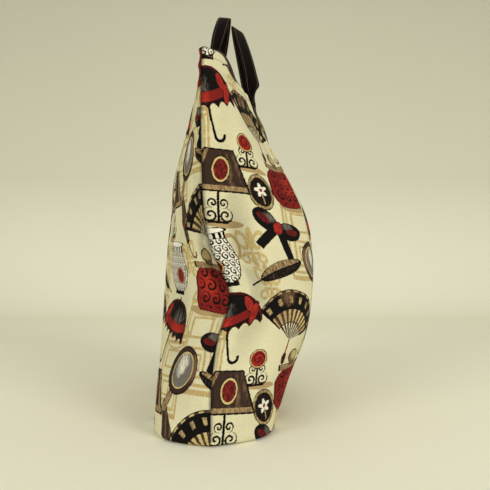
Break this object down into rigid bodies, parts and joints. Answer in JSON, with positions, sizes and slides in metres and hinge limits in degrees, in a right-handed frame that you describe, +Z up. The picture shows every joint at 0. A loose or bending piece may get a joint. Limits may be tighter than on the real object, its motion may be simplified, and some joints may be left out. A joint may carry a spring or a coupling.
{
  "type": "tote bag",
  "caption": "Soft jacquard tote with a boxed base, bulging front, pinched mouth, dark lining and short leather strap handles for carrying or hanging.",
  "frame": {"origin": "middle of the seam under the base, on the floor", "axes": "+Z up, X across the bag from side seam to side seam, the front panel faces -Y"},
  "size_m": [0.422, 0.1925, 0.529],
  "materials": {
    "jacquard": "woven jacquard, cream ground with dark, red and tan motifs",
    "lining": "plain woven, matt dark brown",
    "strap": "smooth, semi-matt, dark brown"
  },
  "bodies": {
    "root": {"front_panel": "jacquard", "back_panel": "jacquard", "front_lining": "lining", "back_lining": "lining", "front_handle": "strap", "back_handle": "strap"}
  },
  "joints": []
}
